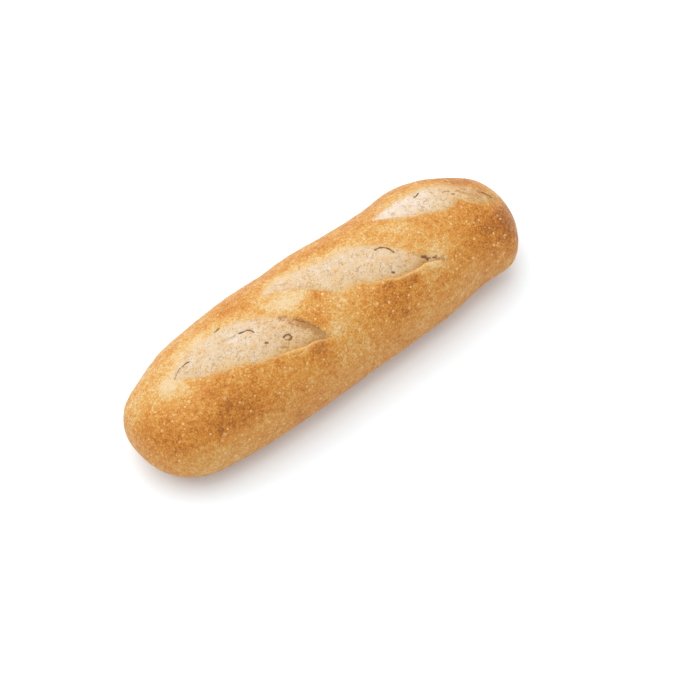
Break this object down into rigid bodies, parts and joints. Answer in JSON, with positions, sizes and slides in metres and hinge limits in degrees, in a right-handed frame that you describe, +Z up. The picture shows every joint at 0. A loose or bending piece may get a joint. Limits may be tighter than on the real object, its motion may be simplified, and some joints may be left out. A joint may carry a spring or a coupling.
{
  "type": "baguette",
  "caption": "Short crusty bread loaf, rounded and slightly bent, with a flat baked base and slanting opened slashes whose lips stand up as ears.",
  "frame": {"origin": "bottom centre of the bounding box, on the flat that the loaf was baked on", "axes": "+X along the loaf towards its slimmer, slightly bent end, +Y towards the side that the slashes rolled open to, +Z up"},
  "size_m": [0.25, 0.0774, 0.057],
  "materials": {
    "crust": "matte"
  },
  "bodies": {
    "root": {"loaf": "crust"}
  },
  "joints": []
}
